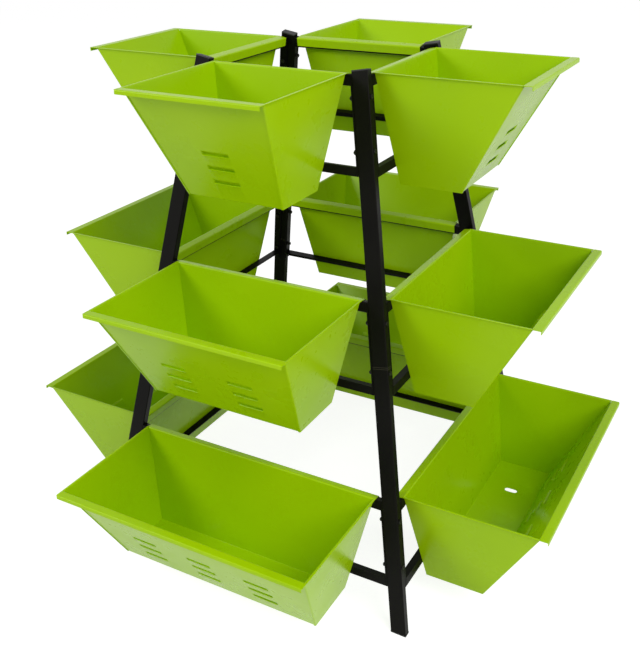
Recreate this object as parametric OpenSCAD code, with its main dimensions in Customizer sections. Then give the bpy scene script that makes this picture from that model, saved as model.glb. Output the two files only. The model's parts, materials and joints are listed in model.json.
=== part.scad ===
// Tiered raised planter. Four leaning legs made of rectangular tube form a tapered tower.
// Each side carries three sheet metal troughs, and the troughs grow longer towards the floor.
// A trough hooks over a rail, and its back wall leans on a stay below, which is an angle bar.
// The origin is on the floor under the middle of the tower. The first side faces -Y.

/* [Frame] */
// Clear distance between neighbouring legs at the floor
span = 845; // [790:5:1000]
// Height of the legs
leg_h = 1307; // [1265:1:1500]
// Lean of every side from the vertical, in degrees
lean = 10.2; // [9:0.1:10.8]
// Leg tube, size along X
leg_w = 40; // [30:1:60]
// Leg tube, size along Y
leg_d = 20; // [18:1:40]
// Wall of the leg tube
leg_wall = 1.5; // [1.2:0.1:2.5]
// Outer corner radius of the leg tube
leg_round = 2; // [1.5:0.5:4]
// Height of the joint between the two halves of a leg, as a share of the leg
joint_share = 0.503; // [0.49:0.001:0.52]
// Length of the sleeve inside that joint
sleeve_len = 120; // [80:5:160]
// Wall of the sleeve
sleeve_wall = 2; // [1.5:0.1:3]

/* [Rails and stays] */
// Height of the rail that a trough hangs on
rail_h = 25; // [20:1:30]
// Depth of rails and stays
rail_d = 20; // [15:1:25]
// Wall of the rail tube
rail_wall = 1.5; // [1.2:0.1:2]
// Outer corner radius of the rails
rail_round = 2; // [1:0.5:3]
// Height of the stay, the angle bar that a trough leans on
stay_h = 20; // [15:1:30]
// Thickness of that angle bar
stay_t = 2.5; // [2:0.5:5]
// Height of the stay's lower edge above the bottom of the trough
stay_up = 44; // [30:1:90]
// Thickness of the end plates that carry a rail and a stay
plate_t = 4; // [3:0.5:6]

/* [Troughs] */
// Drop from the top of the legs to the rims of the top troughs
top_drop = 5; // [4:1:30]
// Drop from the top rims to the middle rims
mid_drop = 493; // [440:1:510]
// Drop from the middle rims to the low rims
low_drop = 473; // [440:1:480]
// Height of a trough
trough_h = 262; // [220:1:270]
// Distance from the back rim of a trough to its front wall, at the rim
mouth_d = 333; // [260:1:380]
// Front to back size of a trough's floor
floor_d = 147; // [100:1:190]
// How far each end wall of a top trough comes in from rim to floor
top_taper = 48; // [20:1:70]
// How far each end wall of a middle trough comes in from rim to floor
mid_taper = 51; // [20:1:70]
// How far each end wall of a low trough comes in from rim to floor
low_taper = 54; // [20:1:70]
// Sheet thickness
sheet = 1.5; // [1:0.1:2]
// Width of the level flange along the front rim
flange = 21.5; // [10:0.5:35]
// Depth of the lip turned down from that flange
lip = 10; // [4:0.5:20]
// How far the lip is cut short at each end
lip_trim = 2; // [0:0.5:6]
// Width of the small outward edge along the end walls
edge = 4; // [2:0.5:8]
// Depth of the hook behind the rail
hook_drop = 22; // [12:1:40]
// Gap between a leg and a top trough, at the rim
top_gap = 9.2; // [8.4:0.1:30]
// Gap between a leg and a middle trough, at the rim
mid_gap = 13.3; // [8.4:0.1:40]
// Gap between a leg and a low trough, at the rim
low_gap = 15.1; // [8.4:0.1:40]

/* [Slots] */
// Length of a pressed slot in the front wall
slot_l = 70; // [40:1:80]
// Height of a pressed slot, measured along the wall
slot_h = 12; // [8:0.5:16]
// How far the slot's flap is pressed in at its lower edge
slot_in = 4; // [3:0.5:6]
// Rows of slots
slot_rows = 3; // [1:1:3]
// Distance down the front wall from the rim to the top row of slots
slot_first = 149; // [100:1:155]
// Distance from one row of slots to the next
slot_row = 42; // [25:1:45]
// Distance between the two columns of slots in a middle trough
mid_pitch = 183; // [120:1:220]
// Distance between columns of slots in a low trough
low_pitch = 164; // [110:1:200]
// Length of a drain slot in the floor of a trough
drain_l = 36; // [20:1:60]
// Width of a drain slot
drain_w = 17; // [8:1:24]
// Distance between the two drain slots in the floor of a top trough
top_drains = 96; // [40:1:180]
// Distance between the two drain slots in the floor of a middle trough
mid_drains = 204; // [60:1:320]
// Distance between the two drain slots in the floor of a low trough
low_drains = 312; // [80:1:480]

/* [Fasteners] */
// Thread diameter of the bolts
bolt_d = 6; // [5:0.5:8]
// Head diameter of the bolts
head_d = 11; // [10:0.5:14]
// Head height of the bolts
head_h = 3; // [2:0.5:4]
// Width of the hexagon socket in a head, across its flats
socket_w = 4; // [3:0.5:5]
// Depth of that socket
socket_deep = 1.5; // [1:0.5:1.5]
// Width of the nuts across their flats
nut_w = 10; // [8:0.5:13]
// Height of the nuts
nut_h = 6; // [4:0.5:8]
// How far a through bolt stands out of its nut
bolt_out = 2; // [1:1:6]
// Length of a rivet nut
rivet_l = 9; // [7:1:12]
// Wall of a rivet nut
rivet_wall = 1.5; // [1:0.1:2]
// How far a side bolt stops short of the end of its rivet nut
bolt_short = 1; // [0:0.5:3]
// Drop from the rail to the upper bolt
bolt_under_rail = 23; // [14:1:30]
// Rise from the stay to the lower bolt
bolt_over_stay = 34; // [14:1:40]
// How much lower the bolts of the other two sides sit, so that they clear these
side_bolt_drop = 18; // [15:1:24]

/* [Caps and feet] */
// Thickness of a cap on top of a leg
cap_t = 3; // [2:0.5:6]
// Thickness of a foot's sole
sole_t = 2.5; // [2:0.5:6]
// How far a sole stands out around the leg
sole_out = 0.5; // [0:0.5:3]
// How far caps and feet reach into the tube
plug_l = 15; // [10:1:30]

/* [Clearances] */
// Gap between a trough and the rail and stay that carry it
hang_gap = 0.3; // [0.2:0.1:1]
// Gap between a rail or stay and its end plates
seat_gap = 0.3; // [0.2:0.1:0.5]
// Gap round a plug or sleeve inside a tube
plug_gap = 0.2; // [0.1:0.1:0.5]
// Gap round the shank of a bolt
bolt_gap = 0.2; // [0.1:0.1:0.5]
// Gap between a sleeve and the rivet nuts
rivet_gap = 1.5; // [0.5:0.1:2]

/* [Hidden] */
$fn = 32;
eps = 0.01;
// How far a cut runs past what it cuts, and a length that reaches past the whole tower
past = 1;
far = 4000;
// Least radius inside a bent corner
least_round = 0.5;
black = "#1a1814";
green = "#86b800";
steel = "#2b2b2b";

SIDES = ["front", "right", "back", "left"];
TIERS = ["top", "middle", "low"];

// Slopes of the tower. A leg leans both ways at once, so its axis is steeper in x and y together.
slope = tan(lean);
axis_len = sqrt(1 + 2 * slope * slope);
tip = asin(slope / axis_len);
leg_twist = -0.5 * acos(cos(tip) * cos(lean) + sin(tip) * cos(lean) * sin(lean));

// Outer faces of the legs at the floor, from the middle
half_w = span / 2 + leg_w / cos(lean);
half_d = span / 2 + leg_d / cos(lean);
function side_half(side) = side % 2 == 0 ? half_d : half_w;

// Heights of the rims
rims = [leg_h - top_drop, leg_h - top_drop - mid_drop, leg_h - top_drop - mid_drop - low_drop];
gaps = [top_gap, mid_gap, low_gap];
function clear_half(z) = span / 2 - z * slope;
function hook_half(tier) = clear_half(rims[tier]) - gaps[tier];
function mouth_half(tier) = hook_half(tier) - edge;

// Slope distance of a height, measured up the outer face of a side
fold_out = hang_gap + sheet;
function hook_top(tier) = (rims[tier] - fold_out * sin(lean)) / cos(lean);
function rail_top(tier) = hook_top(tier) - sheet - hang_gap;
function stay_low(tier) = (rims[tier] - trough_h + stay_up) / cos(lean);

// Points of a trough seen from its end, as distance out from the side and height from the rim.
// Its back wall leans with the side.
back_rim = fold_out / cos(lean);
back_run = trough_h * slope;
front_run = mouth_d - back_run - floor_d;
front_lean = atan(front_run / trough_h);
tapers = [top_taper, mid_taper, low_taper];
function end_lean(tier) = atan(tapers[tier] / trough_h);

// Heights of the bolts of a side: one under each rail and one over each stay
function bolt_upper(tier) = (rail_top(tier) - rail_h) * cos(lean) - bolt_under_rail;
function bolt_lower(tier) = (stay_low(tier) + stay_h) * cos(lean) + bolt_over_stay;
tier_bolts = [for (tier = [0:2]) [bolt_upper(tier), bolt_lower(tier)]];
bolt_heights = [for (pair = tier_bolts) for (z = pair) z];

leg_top = leg_h * axis_len;
leg_joint = leg_top * joint_share;

// A rectangle with round corners, about its middle
module rounded(w, h, r) {
    square([w - 2 * r, h], center = true);
    square([w, h - 2 * r], center = true);
    for (x = [-1, 1])
        for (y = [-1, 1])
            translate([x * (w / 2 - r), y * (h / 2 - r)])
                circle(r);
}

// The section of a tube
module tube_section(w, h, wall, r) {
    difference() {
        rounded(w, h, r);
        rounded(w - 2 * wall, h - 2 * wall, max(r - wall, least_round));
    }
}

// Places its children along the axis of one leg: x and y point outwards, z runs up the leg
module on_leg(x, y) {
    mirror([x < 0 ? 1 : 0, 0, 0])
        mirror([0, y < 0 ? 1 : 0, 0])
            translate([half_w - leg_w / cos(lean) / 2, half_d - leg_d / cos(lean) / 2, 0])
                rotate([tip, -lean, 0])
                    rotate([0, 0, leg_twist])
                        children();
}

module each_leg() {
    for (x = [-1, 1])
        for (y = [-1, 1])
            on_leg(x, y)
                children();
}

// Distance up a leg at which the point x, y beside its axis is at height z
function up_leg(z, x, y) = axis_len * (z - x * sin(lean) - y * sin(tip) * cos(lean));

// Places its children on the outer face of a side: x along the side, y inwards, z up the slope
module on_side(side) {
    rotate([0, 0, 90 * side])
        translate([0, -side_half(side), 0])
            rotate([-lean, 0, 0])
                children();
}

// Places its children at a rim, level: x along the side, y outwards and z up
module at_rim(side, tier) {
    rotate([0, 0, 90 * side])
        translate([0, rims[tier] * slope - side_half(side), rims[tier]])
            mirror([0, 1, 0])
                children();
}

// Half the length of a bar between its end plates, at a distance up the slope
function bar_half(up) = span / 2 - up * sin(lean) - (plate_t + seat_gap) / cos(lean);

// Runs a section across a side, between the end plates. The section's x runs inwards from the
// outer face of the side, and its y runs up the slope from the distance low.
module bar(low, h) {
    reach = bar_half(low);
    reach_up = bar_half(low + h);
    intersection() {
        translate([0, 0, low])
            rotate([90, 0, 90])
                linear_extrude(height = 2 * reach + 2 * past, center = true)
                    children();
        rotate([90, 0, 0])
            linear_extrude(height = 2 * rail_d + 2 * past, center = true)
                polygon([[-reach, low], [reach, low], [reach_up, low + h], [-reach_up, low + h]]);
    }
}

// The rail that a trough hangs on
module rail(tier, side) {
    color(black)
        on_side(side)
            bar(rail_top(tier) - rail_h, rail_h)
                translate([rail_d / 2, rail_h / 2])
                    tube_section(rail_d, rail_h, rail_wall, rail_round);
}

// The stay that a trough leans on: an upright at its back wall, with a level leg inwards on top
module stay(tier, side) {
    color(black)
        on_side(side)
            bar(stay_low(tier), stay_h) {
                square([stay_t, stay_h]);
                translate([0, stay_h - stay_t])
                    square([rail_d, stay_t]);
            }
}

// The end outline of a trough, grown by g at its walls
module end_outline(g) {
    front = back_rim + mouth_d + g / cos(front_lean);
    polygon([
        [back_rim - g * cos(lean), -g * sin(lean)],
        [back_rim - g / cos(lean) + back_run, -trough_h],
        [front - trough_h * tan(front_lean), -trough_h],
        [front, 0],
        [back_rim, 0]
    ]);
}

// The space inside a trough seen from its end, open at the top and sheet high at the floor
module inside_outline() {
    low = trough_h - sheet;
    polygon([
        [back_rim - past * slope, past],
        [back_rim + low * slope, -low],
        [back_rim + mouth_d - low * tan(front_lean), -low],
        [back_rim + mouth_d + past * tan(front_lean), past]
    ]);
}

// The front outline of a trough, used to cut its two end walls
module front_outline(tier, half, top) {
    low = trough_h + past;
    polygon([
        [-half - top * tan(end_lean(tier)), top],
        [-half + low * tan(end_lean(tier)), -low],
        [half - low * tan(end_lean(tier)), -low],
        [half + top * tan(end_lean(tier)), top]
    ]);
}

// Runs an end outline along x, between end walls that meet the rim at the half length
module tapered(tier, half, top) {
    intersection() {
        rotate([90, 0, 90])
            linear_extrude(height = 2 * half + 2 * top, center = true)
                children();
        rotate([90, 0, 0])
            linear_extrude(height = far, center = true)
                front_outline(tier, half, top);
    }
}

// The level frame round the mouth: front flange with its lip, and a small edge at each end
module rim_frame(tier) {
    long = 2 * hook_half(tier);
    inner = 2 * mouth_half(tier) - 2 * sheet / cos(end_lean(tier));
    difference() {
        translate([-long / 2, back_rim, -sheet])
            cube([long, mouth_d + flange, sheet]);
        translate([-inner / 2, back_rim - past, -sheet - past])
            cube([inner, mouth_d + past, sheet + 2 * past]);
    }
    translate([-long / 2 + lip_trim, back_rim + mouth_d + flange - sheet, -lip])
        cube([long - 2 * lip_trim, sheet, lip]);
}

// The hook seen from its end, in the leaning frame of the side
module hook_outline(tier) {
    top = hook_top(tier);
    back = rail_d + hang_gap + sheet;
    polygon([
        [-fold_out, top], [back, top], [back, top - hook_drop],
        [back - sheet, top - hook_drop], [back - sheet, top - sheet], [-fold_out, top - sheet]
    ]);
}

// Places its children on the front wall: x along it, y down it from the rim, z into the trough
module on_front_wall() {
    translate([0, back_rim + mouth_d + sheet / cos(front_lean), 0])
        rotate([-front_lean - 90, 0, 0])
            mirror([0, 0, 1])
                children();
}

// The flap of a pressed slot, seen from its end: it leans in towards its lower edge
module flap_outline() {
    polygon([[0, 0], [0, sheet], [slot_h, slot_in + sheet], [slot_h, 0]]);
}
module flap_pocket() {
    polygon([[0, -past], [0, 0], [slot_h + eps, slot_in], [slot_h + eps, -past]]);
}
module slot_prism(length) {
    rotate([90, 0, 90])
        linear_extrude(height = length, center = true)
            children();
}

drains = [top_drains, mid_drains, low_drains];

// The columns of slots across a front wall
function columns(tier) = tier == 0 ? [0]
    : tier == 1 ? [-mid_pitch / 2, mid_pitch / 2]
    : [-low_pitch, 0, low_pitch];

// Places its children at each pressed slot of a trough
module each_slot(tier) {
    for (x = columns(tier))
        for (row = [0:slot_rows - 1])
            on_front_wall()
                translate([x, slot_first + row * slot_row, 0])
                    children();
}

// A drain slot with round ends
module drain() {
    square([drain_w, drain_l - drain_w], center = true);
    for (y = [-1, 1])
        translate([0, y * (drain_l - drain_w) / 2])
            circle(drain_w / 2);
}

// One trough: folded sheet, open at the top, hooked over its rail
module trough(tier, side) {
    color(green) {
        difference() {
            union() {
                at_rim(side, tier) {
                    difference() {
                        union() {
                            tapered(tier, mouth_half(tier), 0)
                                end_outline(sheet);
                            rim_frame(tier);
                        }
                        tapered(tier, mouth_half(tier) - sheet / cos(end_lean(tier)), past)
                            inside_outline();
                        for (x = [-1, 1])
                            translate([
                                x * drains[tier] / 2,
                                back_rim + back_run + floor_d / 2,
                                -trough_h - past
                            ])
                                linear_extrude(height = sheet + 2 * past)
                                    drain();
                    }
                    each_slot(tier)
                        slot_prism(slot_l)
                            flap_outline();
                }
                on_side(side)
                    rotate([90, 0, 90])
                        linear_extrude(height = 2 * hook_half(tier), center = true)
                            hook_outline(tier);
            }
            at_rim(side, tier)
                each_slot(tier)
                    slot_prism(slot_l - 2 * sheet)
                        flap_pocket();
        }
    }
}

// The bolts of the front and back troughs run right through the legs along x. Those of the
// right and left troughs sit lower, in line with the rails, in rivet nuts of the inner faces.
side_bolt_x = leg_w / 2 - rail_d / 2;
rivet_d = bolt_d + 2 * rivet_wall;
function through_up(z) = up_leg(z, 0, 0);
function side_up(z) = up_leg(z - side_bolt_drop, side_bolt_x, 0);

// All the bolt holes through one leg
module leg_holes() {
    for (z = bolt_heights) {
        translate([-leg_w / 2 - past, 0, through_up(z)])
            rotate([0, 90, 0])
                cylinder(h = leg_w + 2 * past, d = bolt_d + 2 * bolt_gap);
        translate([side_bolt_x, -leg_d / 2 - past, side_up(z)])
            rotate([-90, 0, 0])
                cylinder(h = leg_wall + 2 * past, d = rivet_d + 2 * bolt_gap);
    }
}

// One half of a leg, from one distance along it to another
module leg_half(x, y, from, to) {
    color(black)
        difference() {
            on_leg(x, y)
                difference() {
                    translate([0, 0, from])
                        linear_extrude(height = to - from)
                            tube_section(leg_w, leg_d, leg_wall, leg_round);
                    leg_holes();
                }
            translate([-far / 2, -far / 2, sole_t - far])
                cube([far, far, far]);
        }
}
module leg_upper(x, y) {
    leg_half(x, y, leg_joint, leg_top);
}
module leg_lower(x, y) {
    leg_half(x, y, -leg_w, leg_joint);
}

// Section that fills the inside of a leg with a small gap
plug_w = leg_w - 2 * leg_wall - 2 * plug_gap;
plug_d = leg_d - 2 * leg_wall - 2 * plug_gap;
module plug_section() {
    rounded(plug_w, plug_d, max(leg_round - leg_wall, least_round));
}

// The sleeves inside the joints of the legs, cut clear of the rivet nuts
module leg_sleeves() {
    color(steel)
        each_leg()
            difference() {
                translate([0, 0, leg_joint - sleeve_len / 2])
                    linear_extrude(height = sleeve_len)
                        difference() {
                            plug_section();
                            rounded(plug_w - 2 * sleeve_wall, plug_d - 2 * sleeve_wall, least_round);
                        }
                leg_holes();
                for (z = bolt_heights)
                    translate([side_bolt_x, -leg_d / 2, side_up(z)])
                        rotate([-90, 0, 0])
                            cylinder(h = leg_d / 2, d = rivet_d + 2 * rivet_gap);
            }
}

// The plastic caps on top of a pair of legs
module leg_caps(y) {
    color(black)
        for (x = [-1, 1])
            on_leg(x, y) {
                translate([0, 0, leg_top])
                    linear_extrude(height = cap_t)
                        rounded(leg_w, leg_d, leg_round);
                translate([0, 0, leg_top - plug_l])
                    linear_extrude(height = plug_l + eps)
                        plug_section();
            }
}

// The plastic plugs in the feet of a pair of legs, cut level with the floor
module foot_plugs(y) {
    color(black)
        for (x = [-1, 1]) {
            intersection() {
                on_leg(x, y)
                    translate([0, 0, -leg_w])
                        linear_extrude(height = 2 * leg_w)
                            rounded(leg_w + 2 * sole_out, leg_d + 2 * sole_out, leg_round);
                translate([-far / 2, -far / 2, 0])
                    cube([far, far, sole_t]);
            }
            difference() {
                on_leg(x, y)
                    translate([0, 0, -leg_w])
                        linear_extrude(height = leg_w + plug_l)
                            plug_section();
                translate([-far / 2, -far / 2, sole_t - eps - far])
                    cube([far, far, far]);
            }
        }
}

// One end plate seen from its side, a strip from the rail's top to the stay's lower edge.
// It lies on the face of a leg that is across wide and passes through the point x, y.
module plate_outline(tier, x, y, across) {
    high = up_leg(rail_top(tier) * cos(lean), x, y);
    low = up_leg(stay_low(tier) * cos(lean), x, y);
    translate([across / 2 - rail_d, low])
        square([rail_d, high - low]);
}

// The end plates of one tier, two on each leg
module end_plates(tier) {
    color(black)
        each_leg() {
            difference() {
                translate([-leg_w / 2 - plate_t, 0, 0])
                    rotate([90, 0, 90])
                        linear_extrude(height = plate_t)
                            plate_outline(tier, -leg_w / 2, leg_d / 2, leg_d);
                for (z = tier_bolts[tier])
                    translate([-leg_w / 2 - plate_t - past, 0, through_up(z)])
                        rotate([0, 90, 0])
                            cylinder(h = plate_t + 2 * past, d = bolt_d + 2 * bolt_gap);
            }
            difference() {
                translate([0, -leg_d / 2, 0])
                    rotate([90, 0, 0])
                        linear_extrude(height = plate_t)
                            plate_outline(tier, leg_w / 2, -leg_d / 2, leg_w);
                for (z = tier_bolts[tier])
                    translate([side_bolt_x, -leg_d / 2 - plate_t - past, side_up(z)])
                        rotate([-90, 0, 0])
                            cylinder(h = plate_t + 2 * past, d = bolt_d + 2 * bolt_gap);
            }
        }
}

// A low round head with a hexagon socket, its seat at z = 0 and its shank below
module bolt(length) {
    difference() {
        union() {
            cylinder(h = head_h, d = head_d);
            translate([0, 0, -length])
                cylinder(h = length + eps, d = bolt_d);
        }
        translate([0, 0, head_h - socket_deep])
            cylinder(h = socket_deep + past, d = socket_w / cos(30), $fn = 6);
    }
}

// The bore of a nut of the height h, open at both ends
module nut_bore(h) {
    translate([0, 0, -past])
        cylinder(h = h + 2 * past, d = bolt_d + bolt_gap);
}

// Bolts right through the legs, for the front and back troughs
module through_bolts() {
    color(steel)
        each_leg()
            for (z = bolt_heights)
                translate([leg_w / 2, 0, through_up(z)])
                    rotate([0, 90, 0])
                        bolt(leg_w + plate_t + nut_h + bolt_out);
}

// Lock nuts on those bolts
module lock_nuts() {
    color(steel)
        each_leg()
            for (z = bolt_heights)
                translate([-leg_w / 2 - plate_t, 0, through_up(z)])
                    rotate([0, -90, 0])
                        difference() {
                            cylinder(h = nut_h, d = nut_w / cos(30), $fn = 6);
                            nut_bore(nut_h);
                        }
}

// Short bolts into rivet nuts, for the right and left troughs
module side_bolts() {
    color(steel)
        each_leg()
            for (z = bolt_heights)
                translate([side_bolt_x, -leg_d / 2 - plate_t, side_up(z)])
                    rotate([90, 0, 0])
                        bolt(plate_t + rivet_l - bolt_short);
}

// Rivet nuts in the inner faces of the legs
module rivet_nuts() {
    color(steel)
        each_leg()
            for (z = bolt_heights)
                translate([side_bolt_x, -leg_d / 2, side_up(z)])
                    rotate([-90, 0, 0])
                        difference() {
                            cylinder(h = rivet_l, d = rivet_d);
                            nut_bore(rivet_l);
                        }
}

for (t = [0:2])
    for (s = [0:3]) {
        trough(t, s);
        rail(t, s);
        stay(t, s);
    }
leg_upper(1, -1);  // front_right_leg_upper
leg_upper(-1, -1);  // front_left_leg_upper
leg_upper(1, 1);  // back_right_leg_upper
leg_upper(-1, 1);  // back_left_leg_upper
leg_lower(1, -1);  // front_right_leg_lower
leg_lower(-1, -1);  // front_left_leg_lower
leg_lower(1, 1);  // back_right_leg_lower
leg_lower(-1, 1);  // back_left_leg_lower
leg_sleeves();
leg_caps(-1);  // leg_caps_front
leg_caps(1);  // leg_caps_back
foot_plugs(-1);  // foot_plugs_front
foot_plugs(1);  // foot_plugs_back
for (t = [0:2])
    end_plates(t);
through_bolts();
lock_nuts();
side_bolts();
rivet_nuts();
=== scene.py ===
"""Looks of the tiered raised planter: folded sheet troughs on a black tube tower."""
import json
from math import atan, cos, pi, radians, sin, sqrt, tan

import bmesh
import bpy
from mathutils import Matrix, Vector


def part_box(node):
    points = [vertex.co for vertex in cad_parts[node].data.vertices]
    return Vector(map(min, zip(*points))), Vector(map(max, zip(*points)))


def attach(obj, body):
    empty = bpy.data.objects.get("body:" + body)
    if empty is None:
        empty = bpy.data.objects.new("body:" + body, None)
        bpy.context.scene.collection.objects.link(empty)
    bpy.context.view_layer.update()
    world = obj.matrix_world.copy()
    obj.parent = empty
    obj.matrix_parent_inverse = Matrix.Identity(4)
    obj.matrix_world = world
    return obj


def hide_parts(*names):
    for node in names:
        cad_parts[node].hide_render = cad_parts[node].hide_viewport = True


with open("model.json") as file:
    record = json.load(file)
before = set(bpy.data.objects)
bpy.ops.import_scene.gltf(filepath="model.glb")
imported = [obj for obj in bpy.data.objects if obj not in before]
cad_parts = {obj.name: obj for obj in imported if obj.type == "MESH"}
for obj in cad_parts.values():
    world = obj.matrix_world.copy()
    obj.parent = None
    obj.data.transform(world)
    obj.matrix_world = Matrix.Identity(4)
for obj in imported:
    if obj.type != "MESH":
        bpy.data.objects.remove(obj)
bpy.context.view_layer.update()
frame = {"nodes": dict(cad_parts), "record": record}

SIDES = ("front", "right", "back", "left")
TIERS = ("top", "middle", "low")
TOWER = "tower"

# Sizes of a trough, in metres and radians, as in the part's source
LEAN = radians(10.2)
TROUGH_H = 0.262
MOUTH_D = 0.333
FLOOR_D = 0.147
END_TAPER = {"top": 0.048, "middle": 0.051, "low": 0.054}
SHEET = 0.0015
FLANGE = 0.0215
LIP = 0.010
LIP_TRIM = 0.002
EDGE = 0.004
HOOK_DROP = 0.022
HANG_GAP = 0.0003
RAIL_D = 0.020
SLOT_L = 0.070
SLOT_H = 0.012
SLOT_IN = 0.0052
SLOT_RAMP = 0.0032
SLOT_FLARE = 0.0012
SLOT_FIRST = 0.149
SLOT_ROW = 0.042
SLOT_ROWS = 3
SLOT_COLUMNS = {"top": (0.0,), "middle": (-0.0915, 0.0915), "low": (-0.164, 0.0, 0.164)}
DRAIN_L = 0.036
DRAIN_W = 0.017
DRAIN_SPREAD = {"top": 0.048, "middle": 0.102, "low": 0.156}

# Height, projected on the middle line of the tower, of the seam between two leg halves, and the
# widths of its dark line and of the lighter band painted round it
SEAM_UP = 0.5425
SEAM_WIDTH = 0.0026
SEAM_PALE_BAND = 0.0056

# Places down a slot that get a row of points, as shares of its height, and those along its ends
SLOT_SHARES = (-0.15, 0.0, 0.06, 0.12, 0.18, 0.25, 0.34, 0.6, 1.0, "lip", 1.3)
RAMP_SHARES = (-0.25, 0.0, 0.25, 0.5, 0.75, 1.0)
SLOT_MIDDLES = (0.0, 0.012, 0.022)

# A pressed slot: share of its depth that the quick bend takes, and where that bend ends
PRESS_DEPTH = 0.82
PRESS_END = 0.34

# Bends of the sheet, the points that keep the flats flat, and the end wall's tab
BEND = 0.0026
BEND_STEPS = 5
END_BEND = BEND * 0.6
END_BEND_STEPS = 3
SUPPORT = 0.0022
TAB = 0.0045

# Room round a drain slot, its steps per round end, and a hair that keeps two sheets apart
DRAIN_ROOM = 0.004
DRAIN_STEPS = 12
HAIR = 0.0001
CREASE = radians(35)

FOLD_OUT = HANG_GAP + SHEET
BACK_RIM = FOLD_OUT / cos(LEAN)
BACK_RUN = TROUGH_H * tan(LEAN)
FRONT_LEAN = atan((MOUTH_D - BACK_RUN - FLOOR_D) / TROUGH_H)
REACH = BACK_RIM + MOUTH_D + FLANGE


def to_linear(value):
    """One channel of a screen colour, 0 to 255, as the light it stands for."""
    c = value / 255
    return c / 12.92 if c <= 0.04045 else ((c + 0.055) / 1.055) ** 2.4


def colour(r, g, b):
    return (to_linear(r), to_linear(g), to_linear(b), 1.0)


# Materials

class Nodes:
    """A short way to build a material's node tree."""

    def __init__(self, name):
        self.material = bpy.data.materials.new(name)
        self.material.use_nodes = True
        self.tree = self.material.node_tree
        self.tree.nodes.clear()
        self.shader = self.add("ShaderNodeBsdfPrincipled")
        out = self.add("ShaderNodeOutputMaterial")
        self.link(self.shader.outputs["BSDF"], out.inputs["Surface"])
        self.place = self.add("ShaderNodeTexCoord").outputs["Object"]

    def add(self, kind, **settings):
        node = self.tree.nodes.new(kind)
        for key, value in settings.items():
            setattr(node, key, value)
        return node

    def link(self, source, target):
        self.tree.links.new(source, target)

    def noise(self, scale, detail=3.0, rough=0.5):
        node = self.add("ShaderNodeTexNoise")
        node.inputs["Scale"].default_value = scale
        node.inputs["Detail"].default_value = detail
        node.inputs["Roughness"].default_value = rough
        self.link(self.place, node.inputs["Vector"])
        return node.outputs["Fac"]

    def ramp(self, source, stops):
        node = self.add("ShaderNodeValToRGB")
        elements = node.color_ramp.elements
        while len(elements) < len(stops):
            elements.new(0.5)
        for element, (position, value) in zip(elements, stops):
            element.position = position
            element.color = value
        self.link(source, node.inputs["Fac"])
        return node.outputs["Color"]

    def spread(self, source, low, high):
        """Maps a texture that runs from about 0.3 to 0.7 to the range from low to high."""
        node = self.add("ShaderNodeMapRange")
        node.inputs["From Min"].default_value = 0.3
        node.inputs["From Max"].default_value = 0.7
        node.inputs["To Min"].default_value = low
        node.inputs["To Max"].default_value = high
        self.link(source, node.inputs["Value"])
        return node.outputs["Result"]

    def maths(self, operation, *values):
        node = self.add("ShaderNodeMath", operation=operation)
        for socket, value in zip(node.inputs, values):
            if isinstance(value, (int, float)):
                socket.default_value = value
            else:
                self.link(value, socket)
        return node.outputs["Value"]

    def bump(self, source, distance, strength=1.0, after=None):
        node = self.add("ShaderNodeBump")
        node.inputs["Distance"].default_value = distance
        node.inputs["Strength"].default_value = strength
        self.link(source, node.inputs["Height"])
        if after is not None:
            self.link(after, node.inputs["Normal"])
        return node.outputs["Normal"]

    def set(self, **values):
        for key, value in values.items():
            self.shader.inputs[key.replace("_", " ")].default_value = value


def green_coat():
    """Glossy powder coat on sheet: a little orange peel, slow waves of the sheet, faint dust."""
    n = Nodes("green_powder_coat")
    base = n.ramp(n.noise(3.5, 2.0), [
        (0.30, colour(160, 201, 2)), (0.55, colour(165, 205, 2)), (0.75, colour(169, 208, 3))
    ])
    n.link(base, n.shader.inputs["Base Color"])
    n.link(n.spread(n.noise(14.0, 4.0, 0.6), 0.25, 0.33), n.shader.inputs["Roughness"])
    waves = n.bump(n.noise(5.0, 1.0), 0.0006, 0.5)
    peel = n.bump(n.noise(160.0, 1.0), 0.00005, 0.09, after=waves)
    n.link(peel, n.shader.inputs["Normal"])
    n.set(Specular_IOR_Level=0.14)
    return n.material


def seam(n, width):
    """1 within a band of that width round each leg, where its two halves meet, and 0 elsewhere."""
    slope = tan(LEAN)
    parts = n.add("ShaderNodeSeparateXYZ")
    n.link(n.place, parts.inputs["Vector"])
    x, y = (n.maths("ABSOLUTE", parts.outputs[axis]) for axis in "XY")
    sideways = n.maths("ADD", x, y)
    up = n.maths("MULTIPLY_ADD", sideways, -slope, parts.outputs["Z"])
    off = n.maths("ABSOLUTE", n.maths("SUBTRACT", up, SEAM_UP))
    return n.maths("LESS_THAN", off, width / 2 * sqrt(1 + 2 * slope * slope))


def black_paint(n):
    """Satin black powder coat on tube. Gives back its colour and its peel."""
    n.link(n.spread(n.noise(30.0, 4.0, 0.6), 0.36, 0.48), n.shader.inputs["Roughness"])
    n.set(Specular_IOR_Level=0.08)
    coat = n.ramp(n.noise(6.0, 3.0), [(0.35, colour(10, 9, 7)), (0.70, colour(16, 15, 12))])
    return coat, n.bump(n.noise(600.0, 2.0), 0.00008, 0.5)


def black_coat():
    """The coat of rails, stays and end plates."""
    n = Nodes("black_powder_coat")
    coat, peel = black_paint(n)
    n.link(coat, n.shader.inputs["Base Color"])
    n.link(peel, n.shader.inputs["Normal"])
    return n.material


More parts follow.
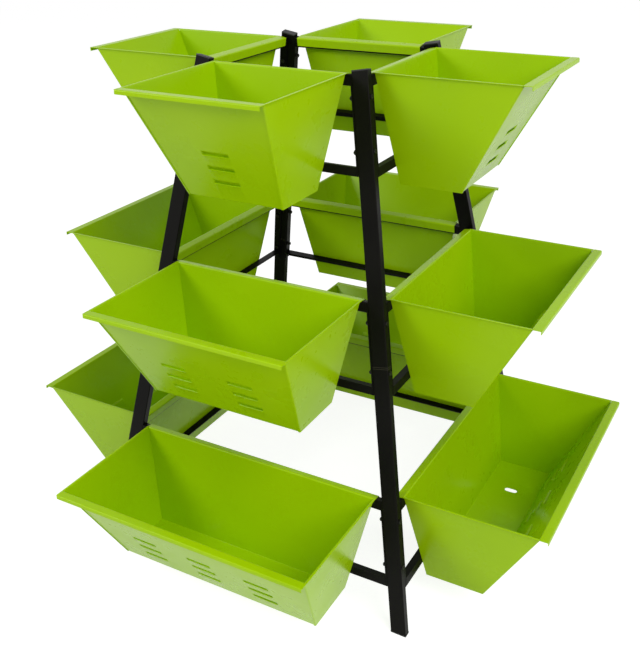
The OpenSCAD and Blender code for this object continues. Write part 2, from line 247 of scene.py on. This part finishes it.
def black_leg():
    """The same coat on the legs, with a dark line between their two halves and a lighter band
    painted beside it.
    """
    n = Nodes("black_leg_coat")
    coat, peel = black_paint(n)
    band = seam(n, SEAM_WIDTH)
    # a lighter grey band is painted round the seam, and the dark line is painted in its middle
    for factor, paint in ((seam(n, SEAM_PALE_BAND), colour(58, 55, 46)), (band, colour(2, 2, 2))):
        line = n.add("ShaderNodeMix", data_type="RGBA")
        n.link(factor, line.inputs["Factor"])
        n.link(coat, line.inputs["A"])
        line.inputs["B"].default_value = paint
        coat = line.outputs["Result"]
    n.link(coat, n.shader.inputs["Base Color"])
    groove = n.bump(n.maths("SUBTRACT", 1.0, band), 0.0008, 1.0, after=peel)
    n.link(groove, n.shader.inputs["Normal"])
    return n.material


def black_moulding():
    """Matt moulded plastic of the caps and feet."""
    n = Nodes("black_moulding")
    base = n.ramp(n.noise(20.0, 3.0), [(0.35, colour(24, 24, 24)), (0.70, colour(33, 33, 33))])
    n.link(base, n.shader.inputs["Base Color"])
    n.link(n.spread(n.noise(60.0, 3.0), 0.55, 0.70), n.shader.inputs["Roughness"])
    n.link(n.bump(n.noise(1500.0, 2.0), 0.00005, 0.6), n.shader.inputs["Normal"])
    return n.material


def black_zinc():
    """Dark plated bolts and nuts."""
    n = Nodes("black_zinc")
    base = n.ramp(n.noise(150.0, 3.0), [(0.35, colour(38, 37, 36)), (0.70, colour(56, 54, 52))])
    n.link(base, n.shader.inputs["Base Color"])
    n.link(n.spread(n.noise(300.0, 3.0), 0.35, 0.50), n.shader.inputs["Roughness"])
    n.set(Metallic=0.7)
    return n.material


def plain_steel():
    """Zinc plated steel of the sleeves and rivet nuts."""
    n = Nodes("plain_steel")
    base = n.ramp(n.noise(90.0, 4.0), [
        (0.35, colour(150, 150, 148)), (0.70, colour(178, 178, 176))
    ])
    n.link(base, n.shader.inputs["Base Color"])
    n.link(n.spread(n.noise(200.0, 3.0), 0.30, 0.45), n.shader.inputs["Roughness"])
    n.set(Metallic=1.0)
    return n.material


COATS = {
    "green_sheet": green_coat(),
    "black_tube": black_coat(),
    "black_plastic": black_moulding(),
    "black_bolts": black_zinc(),
    "plain_steel": plain_steel(),
}
LEG_COAT = black_leg()
for row in frame["record"]["subparts"]:
    part = frame["nodes"][row["node"]]
    part.data.materials.clear()
    leg = row["node"].endswith(("_leg_upper", "_leg_lower"))
    part.data.materials.append(LEG_COAT if leg else COATS[row["material_slot"]])


# Folded sheet

def fillet(corners, radius, steps=BEND_STEPS):
    """A polyline whose inner corners are arcs, with a point either side to keep the flats flat."""
    points = [Vector(corners[0])]
    for before, corner, after in zip(corners, corners[1:], corners[2:]):
        a = (Vector(before) - Vector(corner)).normalized()
        b = (Vector(after) - Vector(corner)).normalized()
        half = a.angle(b) / 2
        back = radius / tan(half)
        start = Vector(corner) + a * back
        end = Vector(corner) + b * back
        centre = Vector(corner) + (a + b).normalized() * (radius / sin(half))
        points.append(start + a * SUPPORT)
        turn = pi - 2 * half
        for i in range(steps + 1):
            t = i / steps
            s0 = sin((1 - t) * turn) / sin(turn)
            s1 = sin(t * turn) / sin(turn)
            points.append(centre + (start - centre) * s0 + (end - centre) * s1)
        points.append(end + b * SUPPORT)
    points.append(Vector(corners[-1]))
    return points


def leaning(inward, up):
    """A point of the leaning side frame as distance out and height from the rim."""
    return Vector((
        -(inward * cos(LEAN) + up * sin(LEAN)),
        -inward * sin(LEAN) + up * cos(LEAN),
    ))


def crossing(p, a, q, b):
    """Where the line through p along a meets the line through q along b."""
    d = a.x * b.y - a.y * b.x
    w = q - p
    return p + a * ((w.x * b.y - w.y * b.x) / d)


def section():
    """The corners of the main sheet's middle line, from the lip round to the hook."""
    half = SHEET / 2
    front_down = Vector((-sin(FRONT_LEAN), -cos(FRONT_LEAN)))
    back_down = Vector((sin(LEAN), -cos(LEAN)))
    level = Vector((1.0, 0.0))
    front_at = Vector((BACK_RIM + MOUTH_D + half / cos(FRONT_LEAN), 0.0))
    back_at = Vector((BACK_RIM - half / cos(LEAN), 0.0))
    hook_up = -FOLD_OUT * tan(LEAN) - half
    hook_back = RAIL_D + HANG_GAP + half
    hook_level = leaning(1.0, hook_up) - leaning(0.0, hook_up)
    return [
        Vector((REACH - half, -LIP)),
        Vector((REACH - half, -half)),
        crossing(Vector((0.0, -half)), level, front_at, front_down),
        crossing(Vector((0.0, half - TROUGH_H)), level, front_at, front_down),
        crossing(Vector((0.0, half - TROUGH_H)), level, back_at, back_down),
        crossing(leaning(0.0, hook_up), hook_level, back_at, back_down),
        leaning(hook_back, hook_up),
        leaning(hook_back, hook_up + half - HOOK_DROP),
    ]


SECTION = section()
WALL_DOWN = (SECTION[3] - SECTION[2]).normalized()
WALL_IN = Vector((WALL_DOWN.y, -WALL_DOWN.x))


def slot_tops():
    return [SLOT_FIRST + i * SLOT_ROW for i in range(SLOT_ROWS)]


def smooth(t):
    t = max(0.0, min(1.0, t))
    return t * t * (3 - 2 * t)


def across(tier, x):
    """How far into a slot's length a place on the wall lies: 0 outside, 1 past its rounded end."""
    inside = (SLOT_L / 2 - abs(x - middle) for middle in SLOT_COLUMNS[tier])
    return max(smooth(room / SLOT_RAMP) for room in inside)


def pressed(share):
    """How deep a slot is pressed at a share of its height: a quick bend, then nearly flat."""
    bend = sin(min(1.0, share / PRESS_END) * pi / 2)
    return SLOT_IN * (PRESS_DEPTH * bend + (1 - PRESS_DEPTH) * share)


def half_at(at, z):
    """Half the length of the main sheet at a height: it stops at the inner faces of the ends."""
    return at.half - EDGE + z * tan(at.end_lean) - SHEET / cos(at.end_lean)


def sheet_rows(at):
    """The rows of the main sheet: place, half length, depth at the slots, and if it is a lip."""
    line = fillet(SECTION, BEND)
    rows = []
    for p in line:
        out, z = p
        if out > SECTION[2].x + BEND * 0.2 or out < SECTION[5].x - BEND * 0.2:
            half = at.half
            if z < -SHEET * 1.2 and out > SECTION[2].x:
                half -= LIP_TRIM
        else:
            half = half_at(at, z)
        rows.append((p, half, 0.0, False))
    # the front wall lies between its two bends: the slots' rows go there
    front = enumerate(line[:(len(line) + 1) // 2])
    first = max(i for i, p in front if WALL_DOWN.dot(p - SECTION[2]) < SLOT_FIRST / 2)
    slots = []
    for top in slot_tops():
        for share in SLOT_SHARES:
            lip = share == "lip"
            down = 1.0 if lip else share
            depth = -SLOT_FLARE if lip else pressed(share) if 0 <= share <= 1 else 0.0
            p = SECTION[2] + WALL_DOWN * (top + down * SLOT_H)
            slots.append((p, half_at(at, p.y), depth, lip))
    return rows[:first + 1] + slots + rows[first + 1:]


def sheet_columns(tier):
    """Places along a trough at which the main sheet has an edge line, without the two ends."""
    xs = set()
    for middle in SLOT_COLUMNS[tier]:
        for d in SLOT_MIDDLES:
            xs.update((middle - d, middle + d))
        for share in RAMP_SHARES:
            d = SLOT_L / 2 - share * SLOT_RAMP
            xs.update((middle - d, middle + d))
    for d in drain_sides(tier):
        xs.update((-d, d))
    return sorted(xs)


def drain_sides(tier):
    """The two places along the floor between which a drain slot lies, on the positive side."""
    room = DRAIN_W / 2 + DRAIN_ROOM
    return DRAIN_SPREAD[tier] - room, DRAIN_SPREAD[tier] + room


class Placed:
    """Puts points of a trough, as x along, distance out and height from the rim, in the frame."""

    def __init__(self, tier, side):
        k = SIDES.index(side)
        low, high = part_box(f"{tier}_{side}_trough")
        reach = (-low.y, high.x, high.y, -low.x)[k]
        self.half = (high.x - low.x) / 2 if k % 2 == 0 else (high.y - low.y) / 2
        self.end_lean = atan(END_TAPER[tier] / TROUGH_H)
        self.rim = high.z
        self.turn = Matrix.Rotation(k * pi / 2, 3, "Z")
        self.base = reach - REACH

    def __call__(self, x, out, z):
        return self.turn @ Vector((x, -(self.base + out), self.rim + z))


def main_sheet(bm, tier, at):
    rows = sheet_rows(at)
    columns = sheet_columns(tier)
    grid = []
    for p, half, depth, lip in rows:
        xs = [-half, -half + SUPPORT] + columns + [half - SUPPORT, half]
        line = []
        for j, x in enumerate(xs):
            share = across(tier, x) if depth else 0.0
            if lip and share <= 0:
                line.append(grid[-1][j])
                continue
            q = p + WALL_IN * (depth * share)
            line.append(bm.verts.new(at(x, q.x, q.y)))
        grid.append(line)
    low, high = (2 + columns.index(d) for d in drain_sides(tier))
    last = len(grid[0]) - 1
    for i in range(len(grid) - 1):
        if rows[i + 1][3]:
            continue
        a, b = grid[i], grid[i + 1]
        floor = rows[i][0].x - rows[i + 1][0].x > FLOOR_D / 2 and rows[i][0].y < -TROUGH_H / 2
        for j in range(last):
            if floor and (low <= j < high or low <= last - 1 - j < high):
                continue
            bm.faces.new((a[j], a[j + 1], b[j + 1], b[j]))
        if floor:
            drain(bm, tier, at, 1, a[low:high + 1], b[low:high + 1])
            drain(bm, tier, at, -1, a[last - high:last - low + 1], b[last - high:last - low + 1])


def drain(bm, tier, at, sign, front, back):
    """Fills the patch of the floor between two rows, round a slot with round ends."""
    middle = BACK_RIM + BACK_RUN + FLOOR_D / 2
    straight = (DRAIN_L - DRAIN_W) / 2
    ring = []
    for end, start in ((1, 0.0), (-1, pi)):
        for i in range(DRAIN_STEPS + 1):
            a = start + i / DRAIN_STEPS * pi
            x = sign * DRAIN_SPREAD[tier] + DRAIN_W / 2 * cos(a)
            out = middle + end * straight + DRAIN_W / 2 * sin(a)
            ring.append(bm.verts.new(at(x, out, SHEET / 2 - TROUGH_H)))
    edges = []
    patch = front + back[::-1]
    for loop in (patch, ring):
        for a, b in zip(loop, loop[1:] + loop[:1]):
            edges.append(bm.edges.get((a, b)) or bm.edges.new((a, b)))
    made = bmesh.ops.triangle_fill(bm, use_beauty=True, use_dissolve=False, edges=edges)
    up = at(0, 0, 1) - at(0, 0, 0)
    for face in made["geom"]:
        if isinstance(face, bmesh.types.BMFace):
            face.normal_update()
            if face.normal.dot(up) < 0:
                face.normal_flip()


def end_sheet(bm, at, sign):
    """An end wall: its top edge folds outwards and its front edge wraps round the front wall."""
    half = SHEET / 2

    def wall_x(z):
        return at.half - EDGE + z * tan(at.end_lean) - half / cos(at.end_lean)

    profile = fillet([
        Vector((at.half, -half)),
        Vector((wall_x(-half), -half)),
        Vector((wall_x(-TROUGH_H), -TROUGH_H)),
    ], END_BEND, END_BEND_STEPS)
    fold = (SHEET * 1.5) / cos(FRONT_LEAN)
    grid = []
    for p in profile:
        x, z = p
        back = BACK_RIM - SHEET / cos(LEAN) - z * tan(LEAN)
        front = BACK_RIM + MOUTH_D + fold + z * tan(FRONT_LEAN)
        if z > -SHEET * 2:
            # the folded edge reaches under the front flange and the hook, a hair lower than both
            back = SECTION[5].x - BEND
            front = SECTION[2].x + BEND * 1.6
            z -= HAIR
        line = [(x, back), (x, back + SUPPORT), (x, front - BEND - SUPPORT)]
        for i in range(BEND_STEPS + 1):
            a = i / BEND_STEPS * pi / 2
            line.append((x - BEND * (1 - cos(a)), front - BEND * (1 - sin(a))))
        line.append((x - TAB, front))
        grid.append([bm.verts.new(at(sign * q[0], q[1], z)) for q in line])
    for i in range(len(grid) - 1):
        tabbed = profile[i].y <= -SHEET * 2
        last = len(grid[i]) - 1 if tabbed else 2
        for j in range(last):
            quad = (grid[i][j], grid[i][j + 1], grid[i + 1][j + 1], grid[i + 1][j])
            bm.faces.new(quad if sign > 0 else quad[::-1])


def as_object(bm, name):
    mesh = bpy.data.meshes.new(name)
    bm.to_mesh(mesh)
    bm.free()
    piece = bpy.data.objects.new(name, mesh)
    bpy.context.scene.collection.objects.link(piece)
    return piece


def apply_modifiers(piece):
    """Bakes a piece's modifiers into its mesh."""
    graph = bpy.context.evaluated_depsgraph_get()
    mesh = bpy.data.meshes.new_from_object(piece.evaluated_get(graph))
    piece.modifiers.clear()
    piece.data = mesh


def shade(piece, angle):
    """Smooth shading with creases kept sharp."""
    for polygon in piece.data.polygons:
        polygon.use_smooth = True
    piece.data.set_sharp_from_angle(angle=angle)


def dress(piece, body, slot):
    piece.data.materials.clear()
    piece.data.materials.append(COATS[slot])
    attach(piece, body)


def trough(tier, side):
    at = Placed(tier, side)
    bm = bmesh.new()
    main_sheet(bm, tier, at)
    for sign in (-1, 1):
        end_sheet(bm, at, sign)
    piece = as_object(bm, f"{tier}_{side}_folded_trough")
    solid = piece.modifiers.new("sheet", "SOLIDIFY")
    solid.thickness = SHEET
    solid.offset = 0.0
    solid.use_even_offset = True
    apply_modifiers(piece)
    shade(piece, CREASE)
    dress(piece, f"{tier}_{side}", "green_sheet")
    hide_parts(f"{tier}_{side}_trough")


for tier_name in TIERS:
    for side_name in SIDES:
        trough(tier_name, side_name)


# Stage, light and camera

# Strength of the room's own light, and the lamps: name, place, size and power
ROOM = 0.32
LAMPS = (
    ("key", (-3.3, -3.6, 3.5), 1.7, 106.0),
    ("fill", (4.2, -2.2, 4.4), 3.4, 205.0),
)


def seen_or_bounced(tree):
    """1 for what is seen directly, in a reflection or through something, 0 for bounced light."""
    def node(kind):
        return tree.nodes.new(kind)

    path = node("ShaderNodeLightPath")
    total = path.outputs["Is Camera Ray"]
    for name in ("Is Glossy Ray", "Is Transmission Ray"):
        either = node("ShaderNodeMath")
        either.operation = "MAXIMUM"
        tree.links.new(total, either.inputs[0])
        tree.links.new(path.outputs[name], either.inputs[1])
        total = either.outputs["Value"]
    return total


def stage():
    """A white floor. As it is seen it is a little lighter, so that it ends in plain white."""
    size = 30.0
    bm = bmesh.new()
    for x, y in ((-1, -1), (1, -1), (1, 1), (-1, 1)):
        bm.verts.new((x * size, y * size, 0.0))
    bm.faces.new(bm.verts)
    floor = as_object(bm, "studio_floor")
    n = Nodes("studio_floor")
    n.set(Base_Color=(0.90, 0.90, 0.90, 1.0), Roughness=0.9, Specular_IOR_Level=0.0)
    veil = n.add("ShaderNodeBsdfDiffuse")
    veil.inputs["Color"].default_value = (0.38, 0.38, 0.38, 1.0)
    glow = n.add("ShaderNodeEmission")
    glow.inputs["Strength"].default_value = 0.87
    seen = n.add("ShaderNodeAddShader")
    n.link(veil.outputs["BSDF"], seen.inputs[0])
    n.link(glow.outputs["Emission"], seen.inputs[1])
    pick = n.add("ShaderNodeMixShader")
    n.link(seen_or_bounced(n.tree), pick.inputs["Fac"])
    n.link(n.shader.outputs["BSDF"], pick.inputs[1])
    n.link(seen.outputs["Shader"], pick.inputs[2])
    n.link(pick.outputs["Shader"], n.tree.nodes["Material Output"].inputs["Surface"])
    floor.data.materials.append(n.material)


def light():
    world = bpy.data.worlds.new("studio")
    bpy.context.scene.world = world
    world.use_nodes = True
    tree = world.node_tree
    room = tree.nodes["Background"]
    room.inputs["Color"].default_value = (1.0, 1.0, 1.0, 1.0)
    room.inputs["Strength"].default_value = ROOM
    white = tree.nodes.new("ShaderNodeBackground")
    white.inputs["Color"].default_value = (1.0, 1.0, 1.0, 1.0)
    white.inputs["Strength"].default_value = 1.0
    pick = tree.nodes.new("ShaderNodeMixShader")
    tree.links.new(seen_or_bounced(tree), pick.inputs["Fac"])
    tree.links.new(room.outputs["Background"], pick.inputs[1])
    tree.links.new(white.outputs["Background"], pick.inputs[2])
    tree.links.new(pick.outputs["Shader"], tree.nodes["World Output"].inputs["Surface"])
    for name, place, size, power in LAMPS:
        data = bpy.data.lights.new(name, "AREA")
        data.size = size
        data.energy = power
        lamp = bpy.data.objects.new(name, data)
        lamp.location = place
        lamp.rotation_mode = "QUATERNION"
        lamp.rotation_quaternion = (Vector((0, 0, 0.6)) - lamp.location).to_track_quat("-Z", "Y")
        bpy.context.scene.collection.objects.link(lamp)


def camera():
    """The photographer's place, worked out from the corners of the legs and troughs."""
    place = Vector((1.1224, -2.0289, 1.6931))
    azimuth, down, roll = radians(29.88), radians(25.55), radians(-1.02)
    focal, width, height = 922.8, 640, 657
    middle = (310.9, 316.4)
    data = bpy.data.cameras.new("camera")
    data.sensor_fit = "HORIZONTAL"
    data.sensor_width = 36.0
    data.lens = focal / width * data.sensor_width
    data.shift_x = (width / 2 - middle[0]) / width
    data.shift_y = (middle[1] - height / 2) / width
    data.clip_start = 0.05
    data.clip_end = 100.0
    view = bpy.data.objects.new("camera", data)
    forward = Vector((-sin(azimuth) * cos(down), cos(azimuth) * cos(down), -sin(down)))
    right = Vector((cos(azimuth), sin(azimuth), 0.0))
    up = right.cross(forward)
    right_rolled = right * cos(roll) + up * sin(roll)
    up_rolled = up * cos(roll) - right * sin(roll)
    turn = Matrix((right_rolled, up_rolled, -forward)).transposed()
    view.matrix_world = Matrix.Translation(place) @ turn.to_4x4()
    bpy.context.scene.collection.objects.link(view)
    bpy.context.scene.camera = view


stage()
light()
camera()
bpy.context.scene.view_settings.view_transform = "Standard"
